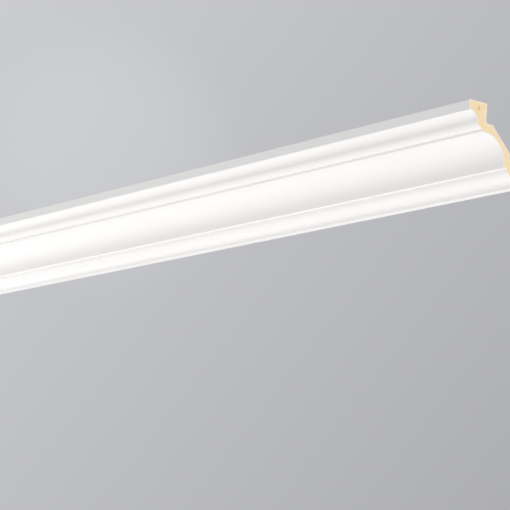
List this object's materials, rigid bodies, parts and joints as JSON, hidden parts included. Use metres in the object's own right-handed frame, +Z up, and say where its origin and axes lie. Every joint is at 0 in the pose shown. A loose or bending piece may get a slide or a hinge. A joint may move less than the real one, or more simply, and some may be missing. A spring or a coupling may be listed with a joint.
{
  "type": "crown moulding length",
  "caption": "Square-cut length of white primed foam crown moulding with cavetto, ovolo and large cove, hollowed behind, for a wall and ceiling corner.",
  "frame": {"origin": "middle of the flat band at the back that is glued to the wall", "axes": "+X along the length towards one square-cut end, +Y into the wall, +Z up to the ceiling"},
  "size_m": [1.16, 0.1, 0.1],
  "materials": {
    "primed_foam": "white factory primer on rigid cream foam, soft sheen"
  },
  "bodies": {
    "root": {"crown_moulding": "primed_foam"}
  },
  "joints": []
}
